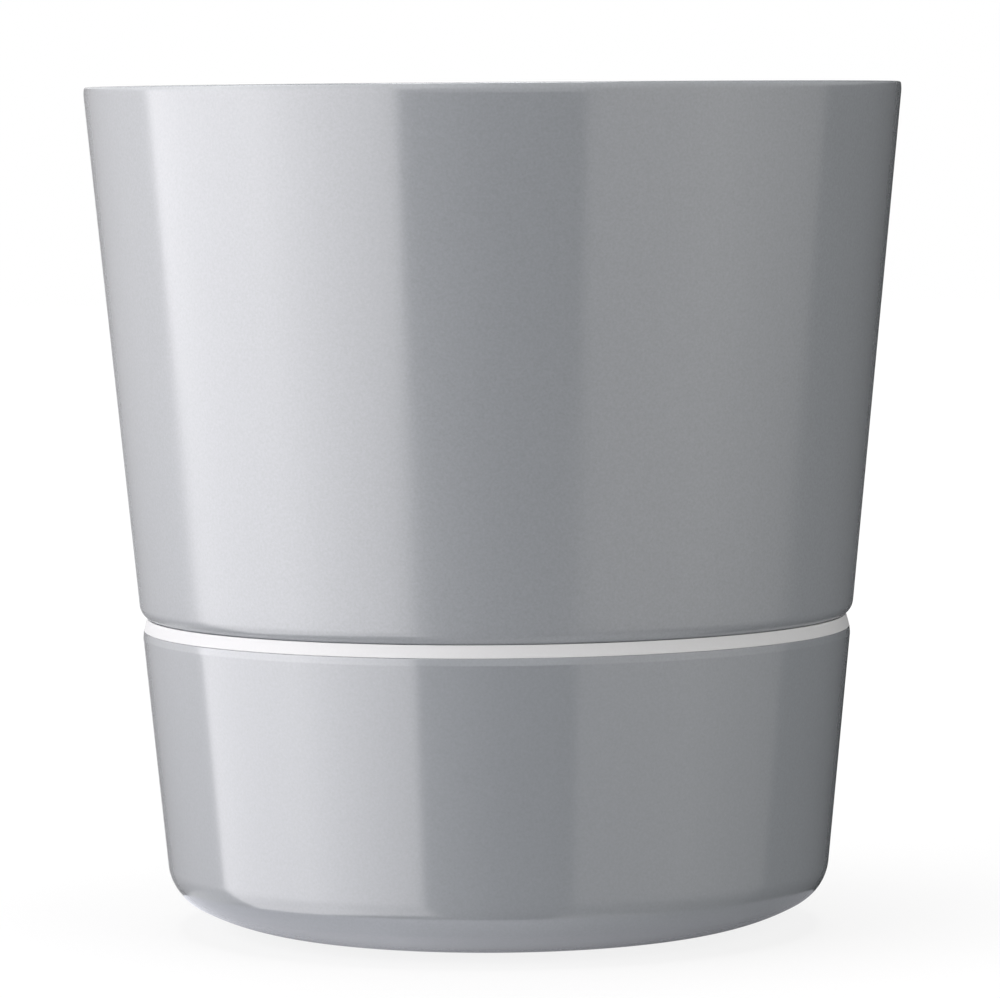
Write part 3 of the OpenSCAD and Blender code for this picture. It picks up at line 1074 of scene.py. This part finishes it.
@dataclass(frozen=True)
class FillerShaft:
    """Tube from the funnel down to the reservoir, with its gasket, ring nut and strainer foot."""

    wall: float = 0.0018
    flange: float = 0.002
    fillet: float = 0.0008
    edge: float = 0.0003
    seam: float = 0.00005
    gap: float = 0.0001
    row: float = 0.004
    gasket_edges: tuple[float, ...] = (0.0002, 0.0005, 0.0005, 0.0002)
    nut_edges: tuple[float, ...] = (0.0004, 0.0007, 0.0004, 0.0003)
    nut_segments: int = 240
    plate_edge: float = 0.0006
    plate_lip: float = 0.0002
    plate_row: float = 0.003
    plug_fillet: float = 0.0001
    plug_wall: float = 0.0012
    water_slot: tuple[float, float] = (0.014, 0.003)
    water_slot_height: float = 0.0246
    water_slot_count: int = 4
    notch: float = 0.0009
    notch_width: float = 0.0018
    notch_count: int = 10
    hole: float = 0.0038
    hole_count: int = 6

    def tube(self) -> Surface:
        """Turns the tube's outline, with the flange that stands on the gasket.

        Returns:
            The tube without its slots.
        """
        tube, foot = NodeBox("filler_shaft"), NodeBox("shaft_foot")
        low, edge = NodeBox("shaft_gasket").top, self.edge
        bore, high = foot.radius - self.wall, low + self.flange
        corners = (
            (bore, tube.bottom, edge), (foot.radius, tube.bottom, edge), (foot.radius, low, self.seam),
            (tube.radius, low, edge), (tube.radius, high, edge), (foot.radius, high, self.fillet),
            (foot.radius, tube.top, edge), (bore, tube.top, edge),
        )
        return lathe(spaced(rounded(corners), self.row), tube.axis, segments=128, ring=True)

    def water_slots(self) -> list[Surface]:
        """Plugs for the upright slots, each turned so that it runs up the tube.

        Returns:
            The plugs, in place.
        """
        foot = NodeBox("shaft_foot")
        plug = slot_plug(*self.water_slot, foot.radius - self.wall, foot.radius)
        upright = np.array(((0, 0, 1), (0, 1, 0), (-1, 0, 0)), float)
        place = (*foot.axis, self.water_slot_height)
        return [plug.placed(place, about_z(turn) @ upright) for turn in even_turns(self.water_slot_count)]

    def gasket(self) -> Surface:
        """Turns a rounded oblong into the gasket.

        Returns:
            The closed ring.
        """
        box, inner = NodeBox("shaft_gasket"), NodeBox("shaft_foot").radius + self.gap
        outline = oblong(inner, box.radius, box.bottom, box.top, self.gasket_edges)
        return lathe(outline, box.axis, segments=128, ring=True)

    def nut(self) -> Surface:
        """Turns the nut's outline, and draws its outer face in at the finger notches.

        The notches follow a cosine of the angle, cut off below a level, so that each is a smooth hollow
        between plain lands.

        Returns:
            The closed ring.
        """
        box, inner = NodeBox("shaft_nut"), NodeBox("shaft_foot").radius + self.gap
        outline = oblong(inner, box.radius, box.bottom, box.top, self.nut_edges)
        turn = np.array(even_turns(self.nut_segments))
        share = math.cos(self.notch_width / box.radius * self.notch_count)
        hollow = np.clip((np.cos(self.notch_count * turn) - share) / (1 - share), 0, 1)
        outside = outline[:, :1] > (inner + box.radius) / 2
        return lathe(outline, box.axis, self.nut_segments, ring=True, inset=self.notch * hollow * outside)

    def strainer(self) -> Surface:
        """Turns the strainer plate with the plug ring that stands in the tube.

        Returns:
            The plate without its holes.
        """
        box, low = NodeBox("shaft_foot"), NodeBox("filler_shaft").bottom
        plug, edge = box.radius - self.wall - self.gap, self.edge
        inner = plug - self.plug_wall
        corners = (
            (0, box.bottom, 0), (box.radius, box.bottom, self.plate_edge), (box.radius, low, self.plate_lip),
            (plug, low, self.plug_fillet), (plug, box.top, edge), (inner, box.top, edge), (inner, low, edge),
            (0, low, 0),
        )
        return lathe(spaced(rounded(corners), self.plate_row), box.axis, segments=128)

    def strainer_holes(self) -> list[Surface]:
        """Plugs for the round holes through the strainer plate.

        Returns:
            The plugs, in place.
        """
        box, low = NodeBox("shaft_foot"), NodeBox("filler_shaft").bottom
        circle = (box.radius - self.wall) / 2
        plug = slot_plug(self.hole, self.hole, box.bottom, low)
        return [plug.placed(place) for place in on_circle(circle, even_turns(self.hole_count), box.axis)]

    def build(self) -> None:
        """Makes the tube, its gasket, its nut and its strainer foot."""
        tube = new_object("filler_tube", self.tube())
        work_in(tube, self.water_slots(), Joining.CUT)
        seat(tube, "filler_shaft", Body.POT, FITTING_WHITE)
        seat(new_object("flange_gasket", self.gasket()), "shaft_gasket", Body.POT, FOOT_RUBBER)
        seat(new_object("ring_nut", self.nut()), "shaft_nut", Body.POT, FITTING_WHITE)
        strainer = new_object("strainer_foot", self.strainer())
        work_in(strainer, self.strainer_holes(), Joining.CUT)
        seat(strainer, "shaft_foot", Body.POT, FITTING_WHITE)


@dataclass(frozen=True)
class FloatGauge:
    """Foam float, its thin stem and the red tip that shows the water level."""

    bevel: float = 0.0015
    soft: float = 0.0006
    hole_gap: float = 0.00005
    tip_edge: float = 0.0004
    hole_edge: float = 0.0003
    stem_edge: float = 0.0004
    foam_row: float = 0.002
    stem_row: float = 0.006
    tip_row: float = 0.004

    def foam(self) -> Surface:
        """Turns a bevelled oblong with soft corners into the float.

        Returns:
            The closed ring.
        """
        box, hole = NodeBox("level_float"), NodeBox("float_stem").radius + self.hole_gap
        bevel, soft, inner = self.bevel, self.soft, box.radius - self.bevel
        corners = (
            (hole, box.bottom, self.hole_edge), (inner, box.bottom, soft),
            (box.radius, box.bottom + bevel, soft), (box.radius, box.top - bevel, soft),
            (inner, box.top, soft), (hole, box.top, self.hole_edge),
        )
        return lathe(spaced(rounded(corners), self.foam_row), box.axis, segments=128, ring=True)

    def stem(self) -> Surface:
        """Turns a long oblong with rounded ends into the stem.

        Returns:
            The closed rod.
        """
        box = NodeBox("float_stem")
        outline = oblong(0, box.radius, box.bottom, box.top, (0, self.stem_edge, self.stem_edge, 0))
        return lathe(spaced(outline, self.stem_row), box.axis, segments=48)

    def tip(self) -> Surface:
        """Turns the tip: a hole for the stem from below, a straight side and a round end on top.

        Returns:
            The closed tip.
        """
        box, hole = NodeBox("indicator_tip"), NodeBox("float_stem").radius + self.hole_gap
        stem_top, dome = NodeBox("float_stem").top, box.top - box.radius
        side = rounded((
            (0, stem_top, 0), (hole, stem_top, 0), (hole, box.bottom, self.tip_edge / 2),
            (box.radius, box.bottom, self.tip_edge), (box.radius, dome, 0),
        ))
        outline = np.vstack((side, arc((0, dome), box.radius, 0, math.pi / 2)[1:]))
        outline[-1, 0] = 0
        return lathe(spaced(outline, self.tip_row), box.axis, segments=64)

    def build(self) -> None:
        """Makes the float, the stem and the tip."""
        seat(new_object("float_block", self.foam()), "level_float", Body.FLOAT, FLOAT_FOAM)
        seat(new_object("float_rod", self.stem()), "float_stem", Body.FLOAT, FITTING_WHITE)
        seat(new_object("gauge_tip", self.tip()), "indicator_tip", Body.FLOAT, TIP_RED)


@dataclass(frozen=True)
class FunnelCap:
    """Pour funnel that plugs into the tube, with a spoked hub that guides the tip."""

    wall: float = 0.0016
    plug_gap: float = 0.0001
    guide_gap: float = 0.0003
    tube_wall: float = 0.0018
    hub_wall: float = 0.0018
    spoke_width: float = 0.002
    spoke_lift: float = 0.0001
    spoke_count: int = 3
    edge: float = 0.0003
    seam: float = 0.00005
    rim_fillet: float = 0.0005
    rim_edge: float = 0.0006
    throat_edge: float = 0.002
    row: float = 0.002

    def funnel(self) -> Surface:
        """Turns the funnel's outline: the plug inside the tube, the flare and the rolled rim.

        Returns:
            The funnel without its hub.
        """
        box, tube = NodeBox("funnel_cap"), NodeBox("shaft_foot").radius
        top, edge = NodeBox("filler_shaft").top, self.edge
        plug = tube - self.tube_wall - self.plug_gap
        throat = plug - self.wall
        corners = (
            (throat, box.bottom, edge), (plug, box.bottom, edge), (plug, top, self.seam), (tube, top, edge),
            (box.radius, box.top - self.wall, self.rim_fillet), (box.radius, box.top, self.rim_edge),
            (box.radius - self.wall, box.top, self.rim_edge), (throat, top, self.throat_edge),
        )
        return lathe(spaced(rounded(corners), self.row), box.axis, segments=128, ring=True)

    def hub(self) -> Surface:
        """Turns a rounded oblong into the hub round the tip.

        Returns:
            The closed ring.
        """
        box, top = NodeBox("funnel_cap"), NodeBox("filler_shaft").top
        inner = NodeBox("indicator_tip").radius + self.guide_gap
        outline = oblong(inner, inner + self.hub_wall, box.bottom, top, (self.edge,) * 4)
        return lathe(outline, box.axis, segments=96, ring=True)

    def spokes(self) -> list[Surface]:
        """Upright webs between the hub and the plug, the first one to the left of the back.

        Returns:
            The webs, in place.
        """
        box, top = NodeBox("funnel_cap"), NodeBox("filler_shaft").top
        inner = NodeBox("indicator_tip").radius + self.guide_gap + self.hub_wall / 2
        outer = NodeBox("shaft_foot").radius - self.tube_wall - self.plug_gap - self.wall / 2
        low = (inner, -self.spoke_width / 2, box.bottom + self.spoke_lift)
        high = (outer, self.spoke_width / 2, (box.bottom + top) / 2)
        web = block(low, high, self.edge)
        turns = even_turns(self.spoke_count, math.pi / 2 + math.pi / self.spoke_count)
        return [web.placed((*box.axis, 0), about_z(turn)) for turn in turns]

    def build(self) -> None:
        """Makes the funnel and welds the hub and its spokes in."""
        cap = new_object("pour_funnel", self.funnel())
        work_in(cap, self.spokes(), Joining.WELD)
        work_in(cap, [self.hub()], Joining.WELD)
        seat(cap, "funnel_cap", Body.FUNNEL, FITTING_WHITE)


class Reach(Enum):
    """How a card lights the planter: in its gloss, which mirrors the card, or in its matt part."""

    MIRRORED = "mirrored"
    SPREAD = "spread"


@dataclass(frozen=True)
class Card:
    """Upright card round the planter: its span of azimuth in degrees, and its glow at even steps along it."""

    name: str
    span: tuple[float, float]
    glow: tuple[float, ...] = (0.0, 0.0)
    low_share: float = 1.0
    heights: tuple[float, float] = (-0.9, 0.75)
    tint: Colour = WHITE
    reach: Reach = Reach.MIRRORED


@dataclass(frozen=True)
class Studio:
    """Floor, cards, lights and camera. Azimuths run from the camera's side, with +X positive."""

    camera_place: Triple = (0.00092, -1.1979, 0.1690)
    camera_pitch: float = 0.0665
    camera_roll: float = -0.0078
    lens: float = 206.95
    sensor: float = 36.0
    card_radius: float = 0.9
    card_grid: tuple[int, int] = (33, 34)
    card_fade: tuple[float, float] = (-0.45, 0.05)
    glint_rings: tuple[float, ...] = (0.0, 0.050, 0.066, 0.0745)
    glint_shares: tuple[float, ...] = (0.25, 0.25, 1.0, 1.0)
    glint_across: tuple[float, ...] = (-0.060, -0.026, 0.060)
    glint_glow: tuple[float, ...] = (1.05, 1.65, 0.3)
    glint_tint: Colour = (0.99, 1.0, 1.08)
    disc_steps: int = 96
    ground_radius: float = 2.5
    ground_height: float = -1.45
    ground_glow: float = 0.7
    ambient: float = 0.02
    overhead_size: float = 0.7
    overhead_height: float = 1.3
    overhead_power: float = 12.0
    floor_radius: float = 4.0
    floor_white: float = 0.82
    floor_glow: float = 1.04
    floor_share: float = 0.80
    shadow_reach: tuple[float, float] = (0.12, 0.40)
    cards: tuple[Card, ...] = (
        Card("softbox", (-107.5, -25.0), (5.0, 5.9, 3.3), 0.60, tint=(1.02, 1.0, 1.015)),
        Card(
            "left_light", (-107.5, -25.0), (1.1, 3.3, 3.0), 0.68,
            tint=(1.035, 1.0, 1.015), reach=Reach.SPREAD),
        Card(
            "left_bounce", (-165.0, -107.5), (0.2, 1.2, 2.6), 0.2,
            heights=(-0.3, 0.24), tint=(1.02, 1.0, 1.0)),
        Card("fill", (25.0, 102.5), (0.85, 1.2, 0.5), 0.3, tint=(1.03, 1.0, 0.99)),
        Card("right_light", (25.0, 102.5), (3.2, 0.1), 0.5, tint=(1.025, 1.0, 0.985), reach=Reach.SPREAD),
        Card("front_flag", (-25.0, 25.0), (0.7, 0.1, 0.0), heights=(-1.4, 0.06)),
        Card("back_flag", (102.5, 175.0), (0.12, 0.0), 0.0, heights=(-1.4, 0.24)),
        Card(
            "high_ring", (-165.0, 175.0), (0.8, 2.4, 5.8, 3.7, 1.6, 1.5, 1.4, 0.4, 0.0),
            heights=(0.24, 1.5)),
        Card("back_light", (130.0, 230.0), (0.5, 1.3), reach=Reach.SPREAD),
    )

    def camera(self) -> None:
        """Stands the camera at the photograph's viewing angle."""
        data = bpy.data.cameras.new("front_camera")
        data.lens = self.lens
        data.sensor_width = self.sensor
        made = bpy.data.objects.new("front_camera", data)
        bpy.context.scene.collection.objects.link(made)
        pitch = Matrix.Rotation(math.pi / 2 - self.camera_pitch, 4, "X")
        roll = Matrix.Rotation(self.camera_roll, 4, "Z")
        made.matrix_world = Matrix.Translation(self.camera_place) @ (pitch @ roll)
        bpy.context.scene.camera = made

    def sheet_of(self, name: str, grid: np.ndarray, material: bpy.types.Material) -> bpy.types.Object:
        """Makes a stage object from an open grid of points, with one quad for each cell.

        Args:
            name: Name of the object.
            grid: Points, shaped (rows, columns, 3).
            material: What it is made of.

        Returns:
            The stage object.
        """
        number = np.arange(grid.shape[0] * grid.shape[1]).reshape(grid.shape[:2])
        quads = np.stack((number[:-1, :-1], number[:-1, 1:], number[1:, 1:], number[1:, :-1]), axis=-1)
        made = new_object(name, Surface(grid.reshape(-1, 3), quads.reshape(-1, 4).tolist()))
        made.data.materials.append(material)
        return made

    def card_light(self) -> bpy.types.Material:
        """Material of the cards: light as strong as the mesh's own glow attribute.

        Returns:
            The new material.
        """
        made = bpy.data.materials.new("card_light")
        graph = Graph(made, "OutputMaterial")
        glow = graph.node("Attribute", {"attribute_name": "glow"}, {}, "Color")
        graph.close(graph.node("Emission", {}, {"Color": glow, "Strength": 1.0}))
        return made

    def stand(self, card: Card, material: bpy.types.Material) -> None:
        """Stands a card round the planter: x = r sin(a), y = -r cos(a), with a and z on a grid.

        The glow is a straight line between its steps along the span. Over the fade's heights it falls evenly
        to its low share.

        Args:
            card: The card.
            material: The cards' material.
        """
        columns, rows = self.card_grid
        azimuth, height = np.meshgrid(np.linspace(*card.span, columns), np.linspace(*card.heights, rows))
        around, radius = np.radians(azimuth), self.card_radius
        points = np.stack((radius * np.sin(around), -radius * np.cos(around), height), axis=-1)
        light = np.interp(azimuth, np.linspace(*card.span, len(card.glow)), card.glow)
        light = light * np.interp(height, self.card_fade, (card.low_share, 1.0))
        self.kindle(self.sheet_of(card.name, points, material), light, card.tint, card.reach)

    def glint(self, material: bpy.types.Material) -> None:
        """Lays the lit floor round the base, which the base mirrors: dim under it and to the sides.

        Args:
            material: The cards' material.
        """
        grid = self.disc(self.glint_rings, 0.0)
        light = np.interp(grid[..., 0], self.glint_across, self.glint_glow)
        light = light * np.array(self.glint_shares)[:, None]
        self.kindle(self.sheet_of("floor_glint", grid, material), light, self.glint_tint, Reach.MIRRORED)

    def ground(self, material: bpy.types.Material) -> None:
        """Lays a dim disc far below the floor, which the walls mirror in views from above.

        Args:
            material: The cards' material.
        """
        grid = self.disc((0.0, self.ground_radius), self.ground_height)
        light = np.full(grid.shape[:2], self.ground_glow)
        self.kindle(self.sheet_of("ground_card", grid, material), light, WHITE, Reach.MIRRORED)

    def kindle(self, card: bpy.types.Object, light: np.ndarray, tint: Colour, reach: Reach) -> None:
        """Gives a card its glow, and hides it from the camera and from rays that it isn't meant for.

        Args:
            card: The card's mesh.
            light: Glow at each of its points.
            tint: Colour of the light.
            reach: How it lights the planter.
        """
        glow = card.data.attributes.new("glow", "FLOAT_COLOR", "POINT")
        glow.data.foreach_set("color", np.outer(light, (*tint, 1.0)).ravel())
        card.visible_camera = False
        card.visible_shadow = False
        card.visible_diffuse = reach is Reach.SPREAD
        card.visible_glossy = reach is Reach.MIRRORED

    def disc(self, rings: Sequence[float], height: float) -> np.ndarray:
        """Grid of a level disc: x = r cos(t), y = -r sin(t), with the rings as r."""
        away, turn = np.meshgrid(rings, np.linspace(0, FULL_TURN, self.disc_steps + 1), indexing="ij")
        return np.stack((away * np.cos(turn), -away * np.sin(turn), np.full(away.shape, height)), axis=-1)

    def overhead(self) -> None:
        """Hangs a square light above the planter."""
        data = bpy.data.lights.new("overhead", "AREA")
        data.size = self.overhead_size
        data.energy = self.overhead_power
        made = bpy.data.objects.new("overhead", data)
        made.location = (0, 0, self.overhead_height)
        bpy.context.scene.collection.objects.link(made)

    def world(self) -> None:
        """White for the camera and in reflections, and a dim even light on the object."""
        made = bpy.data.worlds.new("studio_white")
        bpy.context.scene.world = made
        graph = Graph(made, "OutputWorld")
        dim = graph.node("Background", {}, {"Color": (*WHITE, 1), "Strength": self.ambient})
        white = graph.node("Background", {}, {"Color": (*WHITE, 1), "Strength": 1.0})
        graph.close(graph.node("MixShader", {}, {0: self.seen(graph), 1: dim, 2: white}))

    def seen(self, graph: Graph) -> Signal:
        """One for camera, glossy and transmission rays, nought for the rest.

        Args:
            graph: Nodes of the world or of a material.

        Returns:
            The share, 1 or 0.
        """
        names = ("Is Camera Ray", "Is Glossy Ray", "Is Transmission Ray")
        rays = [graph.node("LightPath", {}, {}, name) for name in names]
        return graph.math("MAXIMUM", graph.math("MAXIMUM", rays[0], rays[1]), rays[2])

    def floor(self) -> None:
        """Lays a round floor that shows white to the camera and keeps the planter's soft shadow."""
        made = bpy.data.materials.new("floor_white")
        graph = Graph(made, "OutputMaterial")
        diffuse = graph.node("BsdfDiffuse", {}, {"Color": (*(self.floor_white,) * 3, 1)})
        away = graph.node("VectorMath", {"operation": "LENGTH"}, {0: graph.place()}, "Value")
        far = graph.steps(away, *self.shadow_reach)
        share = self.seen(graph) * (self.floor_share + (1 - self.floor_share) * far)
        lit = graph.node("Emission", {}, {"Color": (*WHITE, 1), "Strength": self.floor_glow})
        graph.close(graph.node("MixShader", {}, {0: share, 1: diffuse, 2: lit}))
        laid = self.sheet_of("floor", self.disc((0.0, self.floor_radius), 0.0), made)
        laid.visible_diffuse = False
        laid.visible_glossy = False
        laid.visible_shadow = False

    def build(self) -> None:
        """Sets the camera, the floor, the cards, the lights and the world."""
        self.camera()
        self.floor()
        material = self.card_light()
        for card in self.cards:
            self.stand(card, material)
        self.glint(material)
        self.ground(material)
        self.overhead()
        self.world()
        bpy.context.scene.view_settings.view_transform = "Standard"


def main() -> None:
    """Builds the planter's pieces from the bottom up, and the studio round them."""
    logging.basicConfig(level=logging.INFO, format="%(message)s")
    cone = ShellCone()
    assemblies = (
        ReservoirBowl(cone), SeatCollar(cone), PlantPot(cone),
        FeltWicks(), FillerShaft(), FloatGauge(), FunnelCap(),
    )
    for assembly in assemblies:
        assembly.build()
    Studio().build()


if __name__ == "__main__":
    main()
